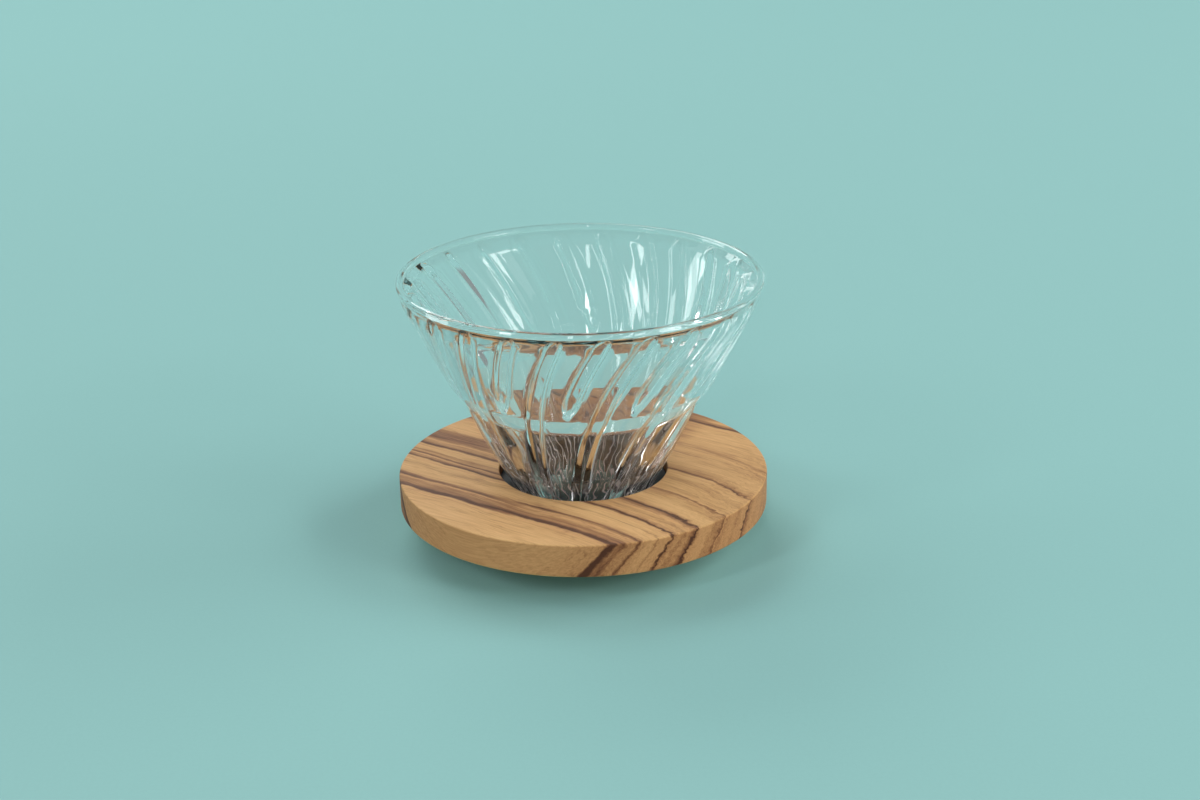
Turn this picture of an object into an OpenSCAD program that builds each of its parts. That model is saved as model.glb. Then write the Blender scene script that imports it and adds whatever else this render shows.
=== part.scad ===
// Pour-over coffee dripper.
// A ribbed glass cone hangs by its shoulder in a silicone grommet, and the grommet
// is buttoned into the stepped bore of a round olive wood collar.
// The origin is on the axis, level with the foot of the glass, which it stands on.

/* [Collar] */
// Outside diameter of the wooden collar
collar_d = 120; // [110:1:140]
// Thickness of the wooden collar
collar_t = 10.6; // [9:0.2:14]
// Height of the collar's underside above the foot of the glass
foot_drop = 10; // [8:0.5:14]
// Width of the ledge in the bore that the grommet's upper flange lies on
ledge_w = 3.6; // [2.4:0.1:6]
// Rounding of the collar's outer edges
collar_edge_r = 0.8; // [0.4:0.1:1.5]

/* [Grommet] */
// Depth of the grommet's top face below the collar's top face
grommet_depth = 3.6; // [2:0.2:4.4]
// Thickness of the upper flange that lies on the ledge
upper_flange_t = 2.4; // [1.6:0.2:3]
// Thickness of the lower flange, which lies flush in a recess under the collar
lower_flange_t = 1.8; // [1.2:0.2:2.4]
// Width of the lower flange beyond the bore that it is pushed through
lower_flange_w = 2.3; // [1.4:0.1:5]
// Thickness of the sleeve between the neck and the wood
sleeve_t = 2.1; // [1.4:0.1:3]
// Radial clearance between the grommet and the wood
grommet_fit = 0.05; // [0.02:0.01:0.2]

/* [Neck] */
// Diameter of the neck's land, which the grommet grips
land_d = 43.4; // [41:0.2:48]
// Height of the neck's land below the shoulder
land_h = 3.8; // [3:0.2:4.6]
// Radial clearance between the neck's land and the grommet
neck_fit = 0.05; // [0.02:0.01:0.09]
// Width of the shoulder that sits on the grommet
shoulder_w = 2; // [1.2:0.1:4]
// Outside diameter of the foot
foot_d = 27.6; // [25:0.2:30]
// Rounding of the foot's outer edge
foot_edge_r = 1; // [0.4:0.1:1.5]
// Diameter of the outlet
outlet_d = 19; // [16:0.2:20]
// Length of the outlet's straight bore
outlet_l = 4; // [3:0.2:5]

/* [Cone] */
// Height of the glass from foot to rim
glass_h = 86.7; // [82:0.1:96]
// Outside diameter of the rim
mouth_d = 116; // [113:0.5:122]
// Outside diameter of the belly, where the wall starts to run in towards the waist
belly_d = 64; // [60:0.2:66]
// Height of the belly above the collar
belly_h = 12; // [8:0.5:16]
// Outside diameter of the waist under the belt
waist_d = 77.2; // [74:0.2:79]
// Height of the waist above the collar
waist_h = 26.9; // [24:0.1:29]
// Outside diameter at the belt's edge
belt_d = 86.4; // [83:0.2:88]
// Height of the belt's edge above the collar
belt_h = 33; // [31:0.2:34]
// Outside diameter where the cone turns up into the lip
lip_start_d = 113.2; // [111:0.2:114.4]
// Height of the steeper band under the rim
lip_h = 6.6; // [6:0.2:8]
// Thickness of the wall across the lip
lip_wall = 3; // [2.4:0.1:4]

/* [Ribs] */
// Number of long ribs, with a short rib between each two
long_ribs = 12; // [8:1:13]
// Width of a rib at its base, at its top
rib_w = 5.6; // [3:0.2:6]
// Height of a rib on the inside of the wall, from the waist up
rib_h = 2.2; // [1:0.1:2.4]
// Share of a rib's width that its flat crest takes, from the waist up
rib_crest = 0.5; // [0.3:0.05:0.6]
// Width of a long rib where it is widest and highest, a little above the collar
ridge_w = 6.2; // [5:0.2:6.8]
// Height of a long rib there
ridge_h = 3.4; // [2:0.1:3.8]
// Share of a long rib's width that its crest takes there
ridge_crest = 0.1; // [0.05:0.05:0.5]
// Height of that place above the collar
ridge_rise = 5.4; // [3:0.2:8]
// Width of a long rib at its lower end, in the neck
neck_rib_w = 3.2; // [2.4:0.2:3.6]
// Height of a long rib at its lower end, in the neck
neck_rib_h = 1.6; // [0.6:0.1:2]
// Distance of the ribs' tops from the rim
rib_rim_gap = 2.6; // [2.4:0.1:4]
// Height of the long ribs' lower ends above the foot
long_rib_foot = 9; // [7:0.5:12]
// Height of the short ribs' lower ends above the collar
short_rib_foot = 34.4; // [24:0.2:40]
// Length over which a rib's upper end rounds off
rib_top_round = 3.4; // [2:0.2:5]
// Length over which a rib's lower end runs out
rib_foot_round = 7; // [4:0.5:9]
// Turn of the ribs at the collar, degrees for each millimetre of height
turn_low = 0.25; // [0:0.05:0.4]
// Turn of the ribs at the rim, degrees for each millimetre of height
turn_high = 0.58; // [0:0.02:0.8]
// Angle of the first long rib at the rim
first_rib_angle = 24.8; // [0:0.2:30]

/* [Hidden] */
$fn = 96;

// The ribbed wall ends inside the plain rim and the plain neck by this much
wall_overlap = 0.5;
// The ribbed wall's facets stay this far inside the round surfaces they run into
facet_inset = 0.1;
// Depth to which the ribs are rooted in the plain neck
rib_root = 2;
// Steps along a rounded edge
arc_steps = 6;

neck_bore_r = land_d / 2 + neck_fit;
sleeve_r = neck_bore_r + sleeve_t;
through_bore_r = sleeve_r + grommet_fit;
counterbore_r = through_bore_r + ledge_w;
lower_flange_r = through_bore_r + lower_flange_w;
shoulder_r = land_d / 2 + shoulder_w;
collar_top = foot_drop + collar_t;
grommet_top = collar_top - grommet_depth;
ledge_z = grommet_top - upper_flange_t;
recess_top = foot_drop + lower_flange_t;
lip_r = lip_wall / 2;
lip_z = glass_h - lip_r;
lip_start = glass_h - lip_h;
rib_top = glass_h - rib_rim_gap;
belly_z = collar_top + belly_h;
waist_z = collar_top + waist_h;
belt_z = collar_top + belt_h;
long_foot = long_rib_foot;
short_foot = collar_top + short_rib_foot;
ridge_z = collar_top + ridge_rise;
neck_top = collar_top + wall_overlap;
rim_bottom = rib_top + wall_overlap / 2;

// Radius of the smooth wall at a height, outside and inside
function outer_r(z) = lookup(z, [
    [grommet_top, shoulder_r], [belly_z, belly_d / 2], [waist_z, waist_d / 2], [belt_z, belt_d / 2],
    [lip_start, lip_start_d / 2], [lip_z, mouth_d / 2]]);
function inner_r(z) = lookup(z, [[outlet_l, outlet_d / 2], [lip_z, mouth_d / 2 - lip_wall]]);

// Points of an arc about a centre, from one angle to another
function arc(centre, radius, from, to) =
    [for (i = [0 : arc_steps])
        let (a = from + (to - from) * i / arc_steps)
        centre + radius * [cos(a), sin(a)]];

// Turn of the ribs at a height, nought at the rim
function turn_since_collar(h) =
    turn_low * h + (turn_high - turn_low) * h * h / (2 * (glass_h - collar_top));
function turn_at(z) = turn_since_collar(z - collar_top) - turn_since_collar(glass_h - collar_top);

// How full a rib is at a distance from its end, from nought to one over a round end
function round_end(distance, length) =
    distance <= 0 ? 0 : distance >= length ? 1 : sqrt(1 - pow(1 - distance / length, 2));
function rib_fullness(z, foot) =
    min(round_end(z - foot, rib_foot_round), round_end(rib_top - z, rib_top_round));

// Width, height and share of the crest of a full rib at a height
function rib_width(z) = lookup(z, [[long_foot, neck_rib_w], [ridge_z, ridge_w], [rib_top, rib_w]]);
function rib_height(z) = lookup(z, [[long_foot, neck_rib_h], [ridge_z, ridge_h], [waist_z, rib_h]]);
function crest_share(z) = lookup(z, [[ridge_z, ridge_crest], [waist_z, rib_crest]]);

// Heights of the ribbed wall's rings, close together where ribs begin and end
function in_order(heights) = len(heights) == 0 ? [] :
    let (middle = heights[floor(len(heights) / 2)])
    concat(in_order([for (z = heights) if (z < middle - facet_inset) z]), [middle],
           in_order([for (z = heights) if (z > middle + facet_inset) z]));
ring_heights = in_order([
    long_foot, long_foot + rib_foot_round / 4, long_foot + rib_foot_round, neck_top - wall_overlap,
    ridge_z, belly_z, waist_z, belt_z, short_foot, short_foot + rib_foot_round / 4,
    short_foot + rib_foot_round, (short_foot + rib_foot_round + lip_start) / 2, lip_start,
    rib_top - rib_top_round, rib_top - rib_top_round / 4, rib_top, rim_bottom + wall_overlap]);

// One ring of the ribbed wall. Each rib has four points, its two edges and the two sides of its crest,
// and the wall between it and the next rib has one.
rib_step = 360 / (2 * long_ribs);
points_per_rib = 5;
// Width left at the very end of a rib, as a share of its full width
end_share = 0.4;
function fullness_of(k, z) = rib_fullness(z, k % 2 == 0 ? long_foot : short_foot);
function half_angle_of(k, z, wall_r) =
    asin(rib_width(z) / 2 / wall_r) * max(end_share, fullness_of(k, z));
function ring(z, wall_r, height) =
    [for (k = [0 : 2 * long_ribs - 1])
        let (half = half_angle_of(k, z, wall_r))
        let (wall = (rib_step + half - half_angle_of(k + 1, z, wall_r)) / 2)
        let (middle = first_rib_angle + turn_at(z) + rib_step * k)
        let (crest = half * crest_share(z))
        let (crest_r = wall_r - height * fullness_of(k, z))
        for (p = [[-half, wall_r], [-crest, crest_r], [crest, crest_r], [half, wall_r], [wall, wall_r]])
            [p[1] * cos(middle + p[0]), p[1] * sin(middle + p[0]), z]];

// Back of the ribbed wall: its outside, and below the wall the roots of the ribs inside the neck
function back_r(z) = z < neck_top - wall_overlap ? inner_r(z) + rib_root : outer_r(z) - facet_inset;

module ribbed_wall() {
    around = 2 * long_ribs * points_per_rib;
    rings = len(ring_heights);
    outside = [for (z = ring_heights) each ring(z, back_r(z), 0)];
    inside = [for (z = ring_heights) each ring(z, inner_r(z) + facet_inset, rib_height(z))];
    shift = rings * around;
    sides = [for (i = [0 : rings - 2], j = [0 : around - 1])
        let (a = i * around + j, b = i * around + (j + 1) % around)
        each [[a, a + around, b], [b, a + around, b + around],
              [shift + a, shift + b, shift + a + around],
              [shift + b, shift + b + around, shift + a + around]]];
    ends = [for (j = [0 : around - 1])
        let (a = j, b = (j + 1) % around, top = (rings - 1) * around)
        each [[a, b, shift + a], [b, shift + b, shift + a],
              [top + a, top + shift + a, top + b], [top + b, top + shift + a, top + shift + b]]];
    polyhedron(concat(outside, inside), concat(sides, ends));
}

// Plain band above the ribs, with a fire-polished round lip
module rim() {
    rotate_extrude()
        polygon(concat(
            [[inner_r(rim_bottom), rim_bottom], [outer_r(rim_bottom), rim_bottom]],
            arc([mouth_d / 2 - lip_r, lip_z], lip_r, 0, 180)));
}

// Neck: outlet, foot, land and shoulder
module neck() {
    land_bottom = grommet_top - land_h;
    rotate_extrude()
        polygon(concat(
            [[outlet_d / 2, outlet_l], [outlet_d / 2, 0]],
            arc([foot_d / 2 - foot_edge_r, foot_edge_r], foot_edge_r, -90, 0),
            [[land_d / 2, land_bottom], [land_d / 2, grommet_top], [shoulder_r, grommet_top],
             [outer_r(neck_top), neck_top], [inner_r(neck_top), neck_top]]));
}

module glass_cone() {
    color("azure", 0.4) {
        neck();
        ribbed_wall();
        rim();
    }
}

module silicone_grommet() {
    color("black")
        rotate_extrude()
            polygon([
                [neck_bore_r, foot_drop],
                [lower_flange_r, foot_drop],
                [lower_flange_r, recess_top],
                [sleeve_r, recess_top],
                [sleeve_r, ledge_z],
                [counterbore_r - grommet_fit, ledge_z],
                [counterbore_r - grommet_fit, grommet_top],
                [neck_bore_r, grommet_top]]);
}

module wooden_collar() {
    color("burlywood")
        rotate_extrude()
            polygon(concat(
                [[through_bore_r, ledge_z], [through_bore_r, recess_top],
                 [lower_flange_r + grommet_fit, recess_top],
                 [lower_flange_r + grommet_fit, foot_drop]],
                arc([collar_d / 2 - collar_edge_r, foot_drop + collar_edge_r], collar_edge_r, -90, 0),
                arc([collar_d / 2 - collar_edge_r, collar_top - collar_edge_r], collar_edge_r, 0, 90),
                [[counterbore_r, collar_top], [counterbore_r, ledge_z]]));
}

glass_cone();
silicone_grommet();
wooden_collar();
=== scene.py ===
import math

import bpy
from mathutils import Matrix, Vector, noise


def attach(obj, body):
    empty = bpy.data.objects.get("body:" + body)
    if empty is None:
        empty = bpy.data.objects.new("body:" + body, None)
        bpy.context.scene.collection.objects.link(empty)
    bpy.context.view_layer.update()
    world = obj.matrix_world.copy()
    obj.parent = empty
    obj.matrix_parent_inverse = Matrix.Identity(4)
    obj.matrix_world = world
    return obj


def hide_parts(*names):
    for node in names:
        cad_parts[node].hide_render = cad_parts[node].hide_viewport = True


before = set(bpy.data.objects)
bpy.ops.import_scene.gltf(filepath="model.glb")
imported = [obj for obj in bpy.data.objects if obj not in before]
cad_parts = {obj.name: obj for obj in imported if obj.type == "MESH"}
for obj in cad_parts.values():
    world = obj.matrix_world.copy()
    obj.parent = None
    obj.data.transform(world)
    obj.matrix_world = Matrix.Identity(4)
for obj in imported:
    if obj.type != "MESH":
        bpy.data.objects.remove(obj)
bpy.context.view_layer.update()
scene = bpy.context.scene
scene.view_settings.view_transform = "Standard"

# Camera
# A long lens on a tripod, looking a little down into the cone's mouth. It stands
# very slightly off level, which its turn about the line of sight repeats.
look_at = Vector((0.00577, 0.0, 0.04378))
camera_distance = 0.61418
look_down = math.radians(21.43)
lean = math.radians(-0.75)
line_of_sight = Vector((0, math.cos(look_down), -math.sin(look_down)))
level_right = Vector((1, 0, 0))
level_up = level_right.cross(line_of_sight)
camera_right = level_right * math.cos(lean) + level_up * math.sin(lean)
camera_up = level_up * math.cos(lean) - level_right * math.sin(lean)
camera_turn = Matrix((camera_right, camera_up, -line_of_sight)).transposed().to_4x4()
camera = bpy.data.objects.new("studio_camera", bpy.data.cameras.new("studio_camera"))
camera.data.lens = 57
camera.data.sensor_width = 36
camera.data.clip_start = 0.01
camera.matrix_world = Matrix.Translation(look_at - line_of_sight * camera_distance) @ camera_turn
scene.collection.objects.link(camera)
scene.camera = camera

# Studio
# A sheet of plain sea-green paper under the dripper, with soft boxes and strip lights all round.
# Flags keep some of the lamps out of the glass, and the room adds a little pale light.
paper_color = (0.31, 0.585, 0.565, 1)
paper_half = 6.0
paper_fleck = 0.025
lamps_end = 0.7
plain_from = 1.6
room_grey = (0.25, 0.25, 0.25, 1)
room_strength = 0.08
aim = Vector((0, 0, 0.05))


def feed(tree, socket, value):
    """Links a value from another node to a socket, or sets the socket to a number or a colour."""
    if isinstance(value, bpy.types.NodeSocket):
        tree.links.new(value, socket)
    else:
        socket.default_value = value


def set_inputs(tree, node, **values):
    """Feeds a node's inputs by their names."""
    for name, value in values.items():
        feed(tree, node.inputs[name.replace("_", " ")], value)


def add_node(tree, kind, **settings):
    """A new node in a tree. A setting is the node's own, or goes to the input of that name."""
    node = tree.nodes.new(kind)
    for name, value in settings.items():
        if hasattr(node, name):
            setattr(node, name, value)
        else:
            set_inputs(tree, node, **{name: value})
    return node


def new_material(name):
    """An empty material with its tree and its main shader."""
    material = bpy.data.materials.new(name)
    material.use_nodes = True
    return material, material.node_tree, material.node_tree.nodes["Principled BSDF"]


def noise_on(tree, vector, scale, detail=3.0, roughness=0.5):
    """A noise texture on a vector, about 0.5 on the average."""
    node = add_node(tree, "ShaderNodeTexNoise", Vector=vector, Scale=scale, Detail=detail,
                    Roughness=roughness)
    return node.outputs["Fac"]


def remap(tree, value, low, high, to_low, to_high):
    """A value taken from one span to another and held within it."""
    node = add_node(tree, "ShaderNodeMapRange", Value=value, From_Min=low, From_Max=high,
                    To_Min=to_low, To_Max=to_high)
    return node.outputs["Result"]


def combine(tree, operation, first, second=0.0):
    """Two values or numbers put together by a sum, a product or the like."""
    node = add_node(tree, "ShaderNodeMath", operation=operation)
    feed(tree, node.inputs[0], first)
    feed(tree, node.inputs[1], second)
    return node.outputs[0]


def mix_colors(tree, share, first, second, blend_type="MIX"):
    """The first colour with the second laid over it by a share from nought to one."""
    node = add_node(tree, "ShaderNodeMix", data_type="RGBA", blend_type=blend_type, Factor=share)
    feed(tree, node.inputs[6], first)
    feed(tree, node.inputs[7], second)
    return node.outputs[2]


def mix_shaders(tree, share, first, second):
    """From the first shader to the second as the share goes from nought to one."""
    node = add_node(tree, "ShaderNodeMixShader")
    for place, value in enumerate((share, first.outputs[0], second.outputs[0])):
        feed(tree, node.inputs[place], value)
    return node


paper_mesh = bpy.data.meshes.new("paper_sheet")
paper_mesh.from_pydata([(-paper_half, -paper_half, 0), (paper_half, -paper_half, 0),
                        (paper_half, paper_half, 0), (-paper_half, paper_half, 0)], [], [(0, 1, 2, 3)])
paper = bpy.data.objects.new("paper_sheet", paper_mesh)
scene.collection.objects.link(paper)
material, tree, shader = new_material("sea_green_paper")
where = add_node(tree, "ShaderNodeTexCoord").outputs["Object"]
fleck = mix_colors(tree, noise_on(tree, where, 900),
                   [c * (1 - paper_fleck) for c in paper_color[:3]] + [1],
                   [c * (1 + paper_fleck) for c in paper_color[:3]] + [1])
set_inputs(tree, shader, Base_Color=fleck, Roughness=0.95, Specular_IOR_Level=0.1)
# Past the reach of the lamps the paper shows its plain colour
distance = add_node(tree, "ShaderNodeVectorMath", operation="LENGTH", Vector=where).outputs["Value"]
plain_paper = add_node(tree, "ShaderNodeEmission", Color=paper_color, Strength=1.0)
near_or_far = mix_shaders(tree, remap(tree, distance, lamps_end, plain_from, 0, 1), shader, plain_paper)
set_inputs(tree, tree.nodes["Material Output"], Surface=near_or_far.outputs[0])
paper.data.materials.append(material)


def soft_box(name, azimuth, height, distance, width, tall, brightness):
    """A rectangular lamp that faces the dripper, with its way there in degrees and its sizes in metres.

    Its brightness is that of its front, where white paper in full light is about 1.
    """
    lamp = bpy.data.lights.new(name, "AREA")
    lamp.shape = "RECTANGLE"
    lamp.size = width
    lamp.size_y = tall
    lamp.energy = brightness * width * tall * math.pi
    box = bpy.data.objects.new(name, lamp)
    turn = math.radians(azimuth)
    rise = math.radians(height)
    towards = Vector((math.cos(rise) * math.cos(turn), math.cos(rise) * math.sin(turn), math.sin(rise)))
    box.location = towards * distance + aim
    box.rotation_euler = towards.to_track_quat("Z", "Y").to_euler()
    scene.collection.objects.link(box)
    return box


# Fill lights for the wood and the paper, which flags keep out of the glass
for fill in (soft_box("right_soft_box", 12, 29, 2.7, 2.2, 0.8, 6.6),
             soft_box("right_front_soft_box", -30, 46, 2.7, 1.2, 0.6, 2.1),
             soft_box("back_left_soft_box", 148, 46, 2.7, 1.6, 0.7, 1.8),
             soft_box("front_soft_box", -90, 22, 2.7, 1.2, 0.6, 6.3)):
    fill.visible_glossy = False
    fill.visible_transmission = False
# The key light, a bright core in a wide halo, shows through the glass but makes no glint on it
for glow in (soft_box("key_glow", -31, 25.5, 2.9, 0.7, 0.32, 16),
             soft_box("key_halo", -31, 24, 2.9, 1.6, 0.8, 1.2)):
    glow.visible_glossy = False
# Lamps that make the glints and the pale streaks of the glass
soft_box("left_soft_box", 163, 40, 3.0, 2.0, 1.0, 0.6)
soft_box("left_low_light", 170, 22, 2.9, 1.0, 0.5, 6)
soft_box("left_strip_light", -140, 34, 2.9, 0.42, 0.8, 11)
soft_box("back_soft_box", 112, 40, 2.6, 1.6, 1.1, 4.5)
soft_box("front_strip_light", -96, 36, 2.5, 0.1, 0.5, 22)
room = bpy.data.worlds.new("room")
scene.world = room
room.use_nodes = True
tree = room.node_tree
room_light = tree.nodes["Background"]
set_inputs(tree, room_light, Color=(1, 1, 1, 1), Strength=room_strength)
# What the glass shows of the room: the paper runs up behind the dripper, and above it all is grey
direction = add_node(tree, "ShaderNodeTexCoord").outputs["Generated"]
upward = add_node(tree, "ShaderNodeSeparateXYZ", Vector=direction).outputs["Z"]
seen_room = mix_colors(tree, remap(tree, upward, 0.25, 0.5, 0, 1), paper_color, room_grey)
backdrop = add_node(tree, "ShaderNodeBackground", Color=seen_room, Strength=1.0)
ray = add_node(tree, "ShaderNodeLightPath").outputs
seen = combine(tree, "MAXIMUM", ray["Is Camera Ray"], ray["Is Glossy Ray"])
seen = combine(tree, "MAXIMUM", seen, ray["Is Transmission Ray"])
set_inputs(tree, tree.nodes["World Output"],
           Surface=mix_shaders(tree, seen, room_light, backdrop).outputs[0])

# Wooden collar
# A ring turned from one piece of olive wood, with a stepped bore that takes the grommet.
# Its edges are only just broken, and it is sanded fine and lightly oiled.
mm = 0.001
collar_r = 60
collar_bottom = 10
collar_top = 20.6
counterbore_r = 27.5
ledge_z = 14.6
through_bore_r = 23.9
recess_top = 11.8
recess_r = 26.25


def rounded_outline(corners, steps=5, hold=0.3):
    """An outline past corners of (radius, height, rounding), with a holding line beside each rounding.

    The first and the last corner only lead in and out.
    """
    outline = []
    for lead_in, (radius, height, rounding), lead_out in zip(corners, corners[1:], corners[2:]):
        corner = Vector((radius, height))
        before = Vector(lead_in[:2]) - corner
        after = Vector(lead_out[:2]) - corner
        half = before.angle(after) / 2
        reach = rounding / math.tan(half)
        if before.length > 2 * (reach + hold):
            outline.append(corner + before.normalized() * (reach + hold))
        start = corner + before.normalized() * reach
        end = corner + after.normalized() * reach
        for step in range(steps + 1):
            t = step / steps
            outline.append(start * (1 - t) ** 2 + corner * 2 * t * (1 - t) + end * t ** 2)
        if after.length > 2 * (reach + hold):
            outline.append(corner + after.normalized() * (reach + hold))
    return outline


def mesh_from_rows(name, rows):
    """A closed smooth mesh from rings of points, each joined to the next and the last to the first."""
    around = len(rows[0])
    vertices = [point for row in rows for point in row]
    faces = []
    for i in range(len(rows)):
        below = i * around
        above = ((i + 1) % len(rows)) * around
        for j in range(around):
            k = (j + 1) % around
            faces.append((below + j, below + k, above + k, above + j))
    mesh = bpy.data.meshes.new(name)
    mesh.from_pydata(vertices, [], faces)
    mesh.shade_smooth()
    piece = bpy.data.objects.new(name, mesh)
    scene.collection.objects.link(piece)
    return piece


def turned(name, corners, around):
    """A turned ring: a closed outline in millimetres, spun about the axis."""
    turns = [2 * math.pi * j / around for j in range(around)]
    rows = []
    for radius, height in rounded_outline(corners[-1:] + corners + corners[:1]):
        rows.append([(radius * math.cos(a) * mm, radius * math.sin(a) * mm, height * mm) for a in turns])
    return mesh_from_rows(name, rows)


collar = turned("olive_wood_collar", [
    (through_bore_r, ledge_z, 0.25), (through_bore_r, recess_top, 0.25),
    (recess_r, recess_top, 0.25), (recess_r, collar_bottom, 0.4),
    (collar_r, collar_bottom, 0.7), (collar_r, collar_top, 0.55),
    (counterbore_r, collar_top, 0.4), (counterbore_r, ledge_z, 0.25)], 256)

# Shade of the wood along a line square to the veins, in millimetres from the middle of the top:
# nought is the palest wood and one the darkest line. Lines are crisp on one side and soft on the other.
left_front_veins = [
    (-62, 0.14), (-50, 0.2), (-44.2, 0.24), (-43.3, 1.0), (-42.3, 0.86), (-41.2, 0.55),
    (-38.8, 0.46), (-37.3, 0.3), (-36.4, 0.8), (-35.4, 0.56), (-34.6, 0.24), (-31, 0.12),
    (-28, 0.3), (-26, 0.14), (-24, 0.18), (-23.2, 0.85), (-22.3, 0.46), (-21, 0.26),
    (-20.2, 0.72), (-19.4, 0.28), (-17.6, 0.44), (-16.8, 0.2), (-13.4, 0.2), (-12.2, 0.92),
    (-11.2, 0.5), (-8.6, 0.26), (-7.2, 0.6), (-1, 0.6), (0, 0.4)]
right_front_veins = [
    (-62, 0.1), (-50, 0.14), (-42.8, 0.24), (-41.9, 1.0), (-41, 0.84), (-40, 0.4),
    (-38.6, 0.56), (-37.6, 0.34), (-35.2, 0.3), (-34.2, 0.76), (-33.4, 0.3), (-31, 0.08),
    (-28.5, 0.08), (-27.9, 0.36), (-27.2, 0.12), (-24, 0.16), (-22.9, 0.95), (-22.2, 0.36),
    (-20.6, 0.22), (-18.8, 0.36), (-17.4, 0.22), (-16, 0.34), (-14.6, 0.56), (-13.8, 1.0),
    (-13.1, 0.4), (-12, 0.14), (-7.6, 0.08), (-6.4, 0.26), (-2.4, 0.32), (-1.4, 0.6),
    (-0.7, 0.2), (0, 0.16)]
back_veins = [
    (0, 0.3), (3, 0.2), (6, 0.24), (8.0, 0.34), (9.0, 0.24), (10.4, 0.18), (13.4, 0.22),
    (14.2, 0.8), (15.2, 0.4), (19, 0.2), (25, 0.22), (28.6, 0.3), (30, 0.2), (32.6, 0.42),
    (34, 0.24), (40, 0.2), (45, 0.14), (51.6, 0.2), (52.8, 0.85), (53.8, 0.5), (55.4, 0.22),
    (58, 0.5), (60, 0.26), (62, 0.3)]
# Heartwood behind the cone: its lines are grain, and its darker shade all over is partly painted shade of
# the glass cone
heart_veins_with_painted_shade = [
    (0, 0.44), (6, 0.5), (8, 0.86), (9.4, 0.62), (12.6, 0.66), (13.4, 1.0), (14.6, 0.6),
    (17, 0.5), (19.4, 0.54), (20.2, 1.0), (21.4, 0.7), (23.6, 0.8), (25.2, 0.54), (27.4, 0.56),
    (28.2, 1.0), (29.6, 0.66), (32, 0.54), (34, 0.95), (35.2, 0.6), (38, 0.54), (39, 0.9),
    (40.4, 0.56), (44, 0.5), (45, 0.85), (46.4, 0.5), (52, 0.46), (53, 0.9), (54.4, 0.6),
    (62, 0.5)]
# Colours of the wood by its shade, and the oil that the edge takes up
wood_colors = [
    (0, (0.79, 0.49, 0.215)), (0.22, (0.65, 0.375, 0.158)), (0.46, (0.42, 0.215, 0.092)),
    (0.76, (0.23, 0.105, 0.053)), (1, (0.115, 0.05, 0.027))]
edge_oil = (0.84, 0.68, 0.66, 1)
# The three ways through the wood: along the veins, across them and through them
along_way = (0.82, -0.57, 0)
across_way = (0.57, 0.82, -0.74)
through_way = (-0.311, -0.448, -0.838)


def dot(tree, vector, direction, scale=1.0, plus=0.0):
    """Distance along a direction, in a measure of its own, with a length added to it."""
    node = add_node(tree, "ShaderNodeVectorMath", operation="DOT_PRODUCT")
    feed(tree, node.inputs[0], vector)
    feed(tree, node.inputs[1], [c * scale for c in direction])
    return combine(tree, "ADD", node.outputs["Value"], plus)


def scaled(tree, *parts):
    """A vector from three values, each stretched by its own scale."""
    node = add_node(tree, "ShaderNodeCombineXYZ")
    for place, (value, scale) in enumerate(parts):
        feed(tree, node.inputs[place], combine(tree, "MULTIPLY", value, scale))
    return node.outputs[0]


def color_ramp(tree, value, colors):
    """A colour for each value between nought and one, from a list of places and colours."""
    node = add_node(tree, "ShaderNodeValToRGB", Fac=value)
    stops = node.color_ramp.elements
    stops.remove(stops[1])
    stops[0].position = colors[0][0]
    stops[0].color = (*colors[0][1], 1)
    for place, color in colors[1:]:
        stops.new(place).color = (*color, 1)
    return node.outputs["Color"]


def vein_shade(tree, value, veins):
    """Shade of the wood at a distance across the veins."""
    low = veins[0][0]
    high = veins[-1][0]
    greys = [((place - low) / (high - low), [shade] * 3) for place, shade in veins]
    return color_ramp(tree, remap(tree, value, low, high, 0, 1), greys)


def blend(tree, share, first, second):
    """From the first value to the second as the share goes from nought to one."""
    node = add_node(tree, "ShaderNodeMix", data_type="FLOAT", Factor=share)
    feed(tree, node.inputs[2], first)
    feed(tree, node.inputs[3], second)
    return node.outputs[0]


def swing(tree, value, size):
    """A noise value made to swing to both sides of nought."""
    return combine(tree, "MULTIPLY", combine(tree, "SUBTRACT", value, 0.5), size)


material, tree, shader = new_material("oiled_olive_wood")
where = add_node(tree, "ShaderNodeTexCoord").outputs["Object"]
along = dot(tree, where, along_way, 1 / mm)
across = dot(tree, where, across_way, 1 / mm, -across_way[2] * collar_top)
through = dot(tree, where, through_way, 1 / mm)
# The veins bend down towards the right, wander a little, and ripple at the right end
past_middle = combine(tree, "MAXIMUM", combine(tree, "SUBTRACT", along, 24), 0.0)
bend = combine(tree, "MULTIPLY", combine(tree, "POWER", past_middle, 2.0), 0.006)
wander = noise_on(tree, scaled(tree, (along, 0.035), (across, 0.05), (through, 0.05)), 1.0, 2.0)
ripple = noise_on(tree, scaled(tree, (along, 0.3), (across, 0.42), (through, 0.7)), 1.0, 3.0)
veined = combine(tree, "ADD", combine(tree, "ADD", across, bend), swing(tree, wander, 4.0))
veined = combine(tree, "ADD", veined, swing(tree, ripple, remap(tree, along, 36, 58, 0.9, 5.0)))
front = blend(tree, remap(tree, along, -12, 6, 0, 1), vein_shade(tree, veined, left_front_veins),
              vein_shade(tree, veined, right_front_veins))
veins = blend(tree, remap(tree, veined, -0.3, 0.3, 0, 1), front, vein_shade(tree, veined, back_veins))
# Behind the cone the wood is darker heartwood with its lines closer together, and that darkness is partly
# painted shade, standing in for the shadow of the glass cone
heart_and_shade_share = combine(tree, "MULTIPLY", remap(tree, veined, 8, 16, 0, 1), remap(tree, along, 4, 18, 1, 0))
veins = blend(tree, heart_and_shade_share, veins, vein_shade(tree, veined, heart_veins_with_painted_shade))
# Veins grow fainter and stronger along their length
growth = noise_on(tree, scaled(tree, (along, 0.045), (across, 0.12), (through, 0.12)), 1.0, 2.0)
veins = combine(tree, "MULTIPLY", combine(tree, "POWER", veins, 1.25),
                remap(tree, growth, 0.3, 0.7, 0.96, 1.5))
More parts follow.
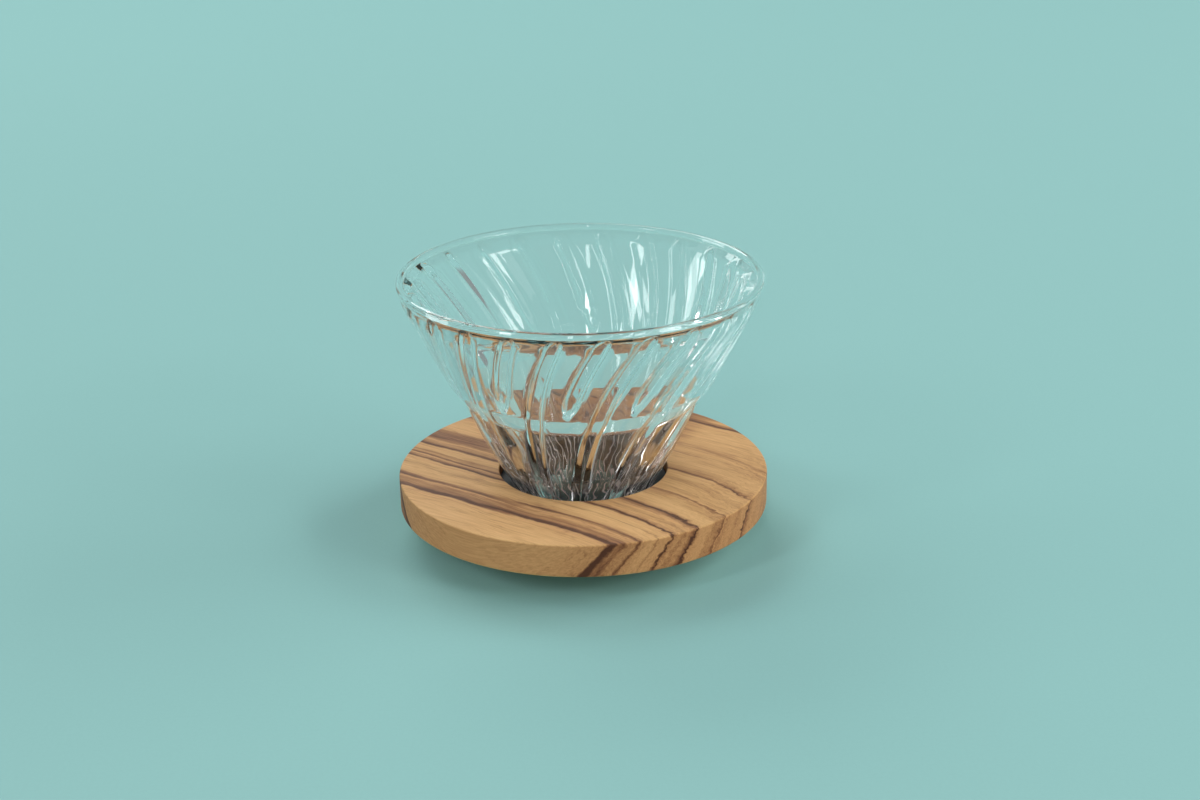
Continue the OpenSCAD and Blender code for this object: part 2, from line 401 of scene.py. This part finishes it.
# Fine dark lines between the veins, where a slow noise passes its middle
slow = noise_on(tree, scaled(tree, (along, 0.02), (veined, 0.16), (through, 0.05)), 1.0, 3.0, 0.6)
line_distance = combine(tree, "ABSOLUTE", combine(tree, "SUBTRACT", slow, 0.5))
fine_line = remap(tree, line_distance, 0.0, 0.03, 0.1, 0.0)
# Fibres and short pores
fibre = noise_on(tree, scaled(tree, (along, 0.07), (veined, 1.9), (through, 1.2)), 1.0, 4.0, 0.6)
fibre_shade = remap(tree, fibre, 0.25, 0.75, -0.17, 0.17)
pore = noise_on(tree, scaled(tree, (along, 0.35), (veined, 3.4), (through, 2.6)), 1.0, 2.0)
pore_depth = remap(tree, pore, 0.64, 0.76, 0.0, 0.1)
# The edge is cut across the fibres and takes up more oil, which makes it darker and redder
facing = add_node(tree, "ShaderNodeTexCoord").outputs["Normal"]
fibre_ends = remap(tree, combine(tree, "ABSOLUTE", dot(tree, facing, along_way)), 0.3, 1.0, 0.0, 0.04)
edge = remap(tree, combine(tree, "ABSOLUTE", dot(tree, facing, (0, 0, 1))), 0.1, 0.8, 1, 0)
shade = veins
for more in (fine_line, fibre_shade, pore_depth, fibre_ends):
    shade = combine(tree, "ADD", shade, more)
oiled = mix_colors(tree, edge, color_ramp(tree, shade, wood_colors), edge_oil, "MULTIPLY")
height = combine(tree, "SUBTRACT", fibre, combine(tree, "MULTIPLY", pore_depth, 3.0))
relief = add_node(tree, "ShaderNodeBump", Strength=0.35, Distance=0.06 * mm, Height=height)
set_inputs(tree, shader, Base_Color=oiled, Roughness=remap(tree, fibre, 0.25, 0.75, 0.46, 0.6),
           Specular_IOR_Level=0.18, Normal=relief.outputs["Normal"])
collar.data.materials.append(material)
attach(collar, "collar")
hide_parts("wooden_collar")

# Silicone grommet
# A soft black ring, moulded in one piece and buttoned into the collar's stepped bore.
# Its upper flange carries the shoulder of the glass, and its sleeve grips the neck.
grommet_top = 17.0
clearance = 0.05
neck_r = 21.7
upper_flange_r = counterbore_r - clearance
sleeve_r = through_bore_r - clearance
lower_flange_r = recess_r - clearance
# The silicone is stretched over the neck and presses on the glass
squeeze = 0.04
grip_r = neck_r - squeeze
seat_z = grommet_top + squeeze
grommet = turned("silicone_grommet_ring", [
    (grip_r, collar_bottom, 0.3), (lower_flange_r, collar_bottom, 0.4),
    (lower_flange_r, recess_top, 0.3), (sleeve_r, recess_top, 0.2),
    (sleeve_r, ledge_z, 0.2), (upper_flange_r, ledge_z, 0.3),
    (upper_flange_r, seat_z, 0.7), (grip_r, seat_z, 0.3)], 160)
deep_black = (0.009, 0.009, 0.01, 1)
dusty_black = (0.02, 0.02, 0.021, 1)
material, tree, shader = new_material("matt_black_silicone")
where = add_node(tree, "ShaderNodeTexCoord").outputs["Object"]
bloom = noise_on(tree, where, 260, 4.0, 0.6)
relief = add_node(tree, "ShaderNodeBump", Strength=0.2, Distance=0.04 * mm,
                  Height=noise_on(tree, where, 2400, 2.0))
set_inputs(tree, shader, Base_Color=mix_colors(tree, bloom, deep_black, dusty_black),
           Roughness=remap(tree, bloom, 0.3, 0.7, 0.5, 0.66), Normal=relief.outputs["Normal"])
grommet.data.materials.append(material)
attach(grommet, "collar")
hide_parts("silicone_grommet")

# Glass cone
# One pressing of clear heat-proof glass: a fire-polished lip, a wall with a belt round its outside and
# long and short spiral ribs inside, a shoulder that sits on the grommet, and the open neck.
glass_h = 86.7
shoulder_r = 23.7
neck_low = 13.2
foot_r = 13.8
outlet_r = 9.5
outlet_top = 4.0
# Bends of the outside: height, radius and how far each is rounded
outer_bends = ((grommet_top, shoulder_r, 0), (32.6, 32.0, 4.0), (47.5, 38.6, 0.9),
               (53.6, 43.2, 0.9), (80.1, 56.6, 1.6), (85.2, 57.7, 0))
# The lip is a round bead, drawn as an arc from its outside over its top to its inside
lip_r = 56.75
bead_r = 1.25
bead_start = -55
bead_turn = 250
bead_steps = 12
inner_slope = 0.5603
lip_flare = 0.6
lip_flare_z = 82.6
rib_count = 24
first_rib_angle = 24.8
# Each rib ends in a round tip at its top and, at its own height, at its foot
rib_top = 84.1
top_tip = 3.4
long_foot = 6.0
long_tip = 5.0
short_foot = 54.6
short_tip = 9.0
# Heights of the inside of the neck that carry the painted glints
painted_glints_low = 11
painted_glints_high = 27


def outer_wall(z):
    """Radius of the outside, which is smooth: straight lines with a small rounding at each bend."""
    slopes = [(b[1] - a[1]) / (b[0] - a[0]) for a, b in zip(outer_bends, outer_bends[1:])]
    radius = shoulder_r + slopes[0] * (z - grommet_top)
    for (height, _, reach), below, above in zip(outer_bends[1:-1], slopes, slopes[1:]):
        t = z - height
        if t >= reach:
            radius += (above - below) * t
        elif t > -reach:
            radius += (above - below) * (t + reach) ** 2 / (4 * reach)
    return radius


def inner_wall(z):
    """Radius of the inside between the ribs: one straight cone from the outlet up, flared at the lip."""
    return outlet_r + inner_slope * (z - outlet_top) + lip_flare * max(z - lip_flare_z, 0)


def rib_turn(z):
    """Turn of the ribs in degrees, nought at the rim. They lean over more and more towards it."""
    def since_collar(h):
        return 0.25 * h + 0.0025 * h * h
    return since_collar(max(z, outlet_top) - collar_top) - since_collar(glass_h - collar_top)


def between(z, table):
    """A value at a height, from a table of heights and values, straight from each to the next."""
    for (low, first), (high, second) in zip(table, table[1:]):
        if z < high:
            share = max((z - low) / (high - low), 0)
            return first + (second - first) * share
    return table[-1][1]


def half_width(z):
    """Half the width of a rib along the wall, narrower only in the neck."""
    return between(z, ((8, 1.5), (16, 2.3), (26, 3.1), (84, 2.8)))


def side_width(z):
    """Width of a rib's sloping side. Low down the sides meet in a ridge, above they leave a crest."""
    return min(between(z, ((26, 3.0), (50, 1.6), (84, 1.2))), 0.97 * half_width(z))


def rib_height(z):
    """Height of a rib above the inside of the wall, greatest a little above the collar."""
    return between(z, ((8, 1.4), (16, 2.6), (26, 3.4), (50, 2.2), (84, 2.2)))


def round_tip(distance, length):
    """Share of a rib's width at a distance from its end, for a round tip of a given length."""
    if distance <= 0:
        return 0.0
    if distance >= length:
        return 1.0
    return math.sqrt(1 - (1 - distance / length) ** 2)


def eased(t, ease=0.15):
    """A straight slope from nought to one with both its ends rounded."""
    if t < ease:
        return t * t / (2 * ease * (1 - ease))
    if t > 1 - ease:
        return 1 - (1 - t) ** 2 / (2 * ease * (1 - ease))
    return (t - ease / 2) / (1 - ease)


def rib_relief(z, across_rib, foot, foot_tip):
    """Height of the wall's inside above its cone, with sloping sides and round tips on each rib."""
    tips = min(round_tip(rib_top - z, top_tip), round_tip(z - foot, foot_tip))
    t = min(max((half_width(z) * tips - abs(across_rib)) / side_width(z), 0), 1)
    return rib_height(z) * eased(t)


def flutes(z, angle):
    """Fine wavy flutes in the lower part of the inside, left by the plunger of the press."""
    fade = between(z, ((5, 0), (8, 1), (24, 1), (34, 0)))
    sway = 3.0 * noise.noise(Vector((3 * math.cos(angle), 3 * math.sin(angle), 0.2 * z)))
    return 0.1 * fade * math.sin(44 * angle + sway)


def glass_ring(radius, z, ribbed):
    """One ring of the glass. Its points follow the ribs' edges, so the sides of the ribs stay clean."""
    points = []
    pitch = 2 * math.pi / rib_count
    long_width = half_width(z)
    short_width = min(long_width, 0.8 * (pitch * radius - long_width))
    land = pitch * radius - long_width - short_width
    for k in range(rib_count):
        if k % 2 == 0:
            width, foot, foot_tip = long_width, long_foot, long_tip
        else:
            width, foot, foot_tip = short_width, short_foot, short_tip
        side = side_width(z) * width / long_width
        crest = width - side
        marks = [0, 0.6 * crest, crest]
        marks += [crest + side * share for share in (0.16, 0.38, 0.62, 0.84, 1.0)]
        marks.append(width + land / 4)
        signed = [-mark for mark in reversed(marks[1:])] + marks + [width + land / 2]
        middle = math.radians(first_rib_angle + rib_turn(z)) + pitch * k
        for mark in signed:
            angle = middle + mark / radius
            ring_r = radius
            if ribbed:
                ring_r -= rib_relief(z, mark, foot, foot_tip) + flutes(z, angle)
            x = ring_r * math.cos(angle)
            y = ring_r * math.sin(angle)
            # Pressed glass is never quite true
            wave = 0.03 * noise.noise(Vector((x, y, z)) * 0.09)
            points.append(((x + wave * x / ring_r) * mm, (y + wave * y / ring_r) * mm, z * mm))
    return points


def heights(*spans):
    """Heights for each span of (start, end, step) in turn, evenly spaced at about that step."""
    found = []
    for start, end, step in spans:
        count = max(1, round(abs(end - start) / step))
        found += [start + (end - start) * i / count for i in range(count)]
    return found


rings = []
first_bend_z, first_bend_r, _ = outer_bends[1]
for radius, z in rounded_outline([
        (outlet_r, outlet_top, 0), (outlet_r, 0, 0.35), (foot_r, 0, 1.0), (neck_r, neck_low, 1.2),
        (neck_r, grommet_top, 0.35), (shoulder_r, grommet_top, 0.35),
        (first_bend_r, first_bend_z, 0)], 4, 0.25):
    rings.append(glass_ring(radius, z, False))
# Rings lie close together at the belt and below the lip, where the outside bends
for z in heights((18, 46, 1.6), (46, 49, 0.25), (49, 52, 1.0), (52, 55, 0.25), (55, 78, 2.3),
                 (78, 82, 0.5), (82, 84.2, 0.8)):
    rings.append(glass_ring(outer_wall(z), z, False))
for step in range(bead_steps + 1):
    a = math.radians(bead_start + bead_turn * step / bead_steps)
    rings.append(glass_ring(lip_r + bead_r * math.cos(a), glass_h - bead_r + bead_r * math.sin(a), False))
inside_heights = heights((84.9, 78, 0.4), (78, 66, 0.8), (66, 53, 0.6), (53, 30, 0.9),
                         (30, outlet_top + 0.4, 0.85))
inside_start = len(rings) * len(rings[0])
for z in inside_heights:
    rings.append(glass_ring(inner_wall(z), z, True))
rings.append(glass_ring(outlet_r, outlet_top - 0.3, False))
glass = mesh_from_rows("ribbed_glass_cone", rings)


def pressed_glass(name, tint, with_painted_glints):
    """Clear glass with a faint unevenness, and where asked with pale wavy streaks that are painted
    glints: reflections of the lamps painted as a matt pale colour.

    Lamps shine through it into a soft shadow, which is deep under the thick neck.
    """
    material, tree, shader = new_material(name)
    where = add_node(tree, "ShaderNodeTexCoord").outputs["Object"]
    place = add_node(tree, "ShaderNodeSeparateXYZ", Vector=where).outputs
    relief = add_node(tree, "ShaderNodeBump", Strength=0.06, Distance=0.2 * mm,
                      Height=noise_on(tree, where, 130, 1.0))
    set_inputs(tree, shader, Base_Color=tint, IOR=1.47, Transmission_Weight=1.0,
               Roughness=remap(tree, noise_on(tree, where, 60), 0.3, 0.7, 0.0, 0.012),
               Normal=relief.outputs["Normal"])
    # Painted glints: along pale wavy lines the glass turns matt and shows its base colour, standing in
    # for reflections of the lamps
    if with_painted_glints:
        around = combine(tree, "MULTIPLY", combine(tree, "ARCTAN2", place["Y"], place["X"]), 26.0)
        sway = combine(tree, "MULTIPLY", noise_on(tree, where, 150, 2.0), 9.0)
        wave = combine(tree, "SINE", combine(tree, "ADD", around, sway))
        glint_line = combine(tree, "ABSOLUTE", wave)
        set_inputs(tree, shader, Transmission_Weight=remap(tree, glint_line, 0.12, 0.42, 0.05, 0.94))
    ray = add_node(tree, "ShaderNodeLightPath").outputs
    # Light that has gone round and round inside the glass is let out
    gone_round = combine(tree, "GREATER_THAN", ray["Glossy Depth"], 2.5)
    body = mix_shaders(tree, gone_round, shader, add_node(tree, "ShaderNodeBsdfTransparent"))
    shadow = add_node(tree, "ShaderNodeBsdfTransparent",
                      Color=remap(tree, place["Z"], 15 * mm, 33 * mm, 0.03, 0.74))
    lit_through = combine(tree, "MAXIMUM", ray["Is Shadow Ray"], ray["Is Diffuse Ray"])
    whole = mix_shaders(tree, lit_through, body, shadow)
    set_inputs(tree, tree.nodes["Material Output"], Surface=whole.outputs[0])
    return material


glass.data.materials.append(pressed_glass("clear_pressed_glass", (0.995, 1, 0.998, 1), False))
# The lower inside of the neck gets the painted glints, in a pale pinkish colour
glass.data.materials.append(pressed_glass("neck_glass_painted_glints", (1.0, 0.9, 0.85, 1), True))
for face in glass.data.polygons:
    if face.index >= inside_start and painted_glints_low * mm < face.center.z < painted_glints_high * mm:
        face.material_index = 1
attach(glass, "glass")
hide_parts("glass_cone")
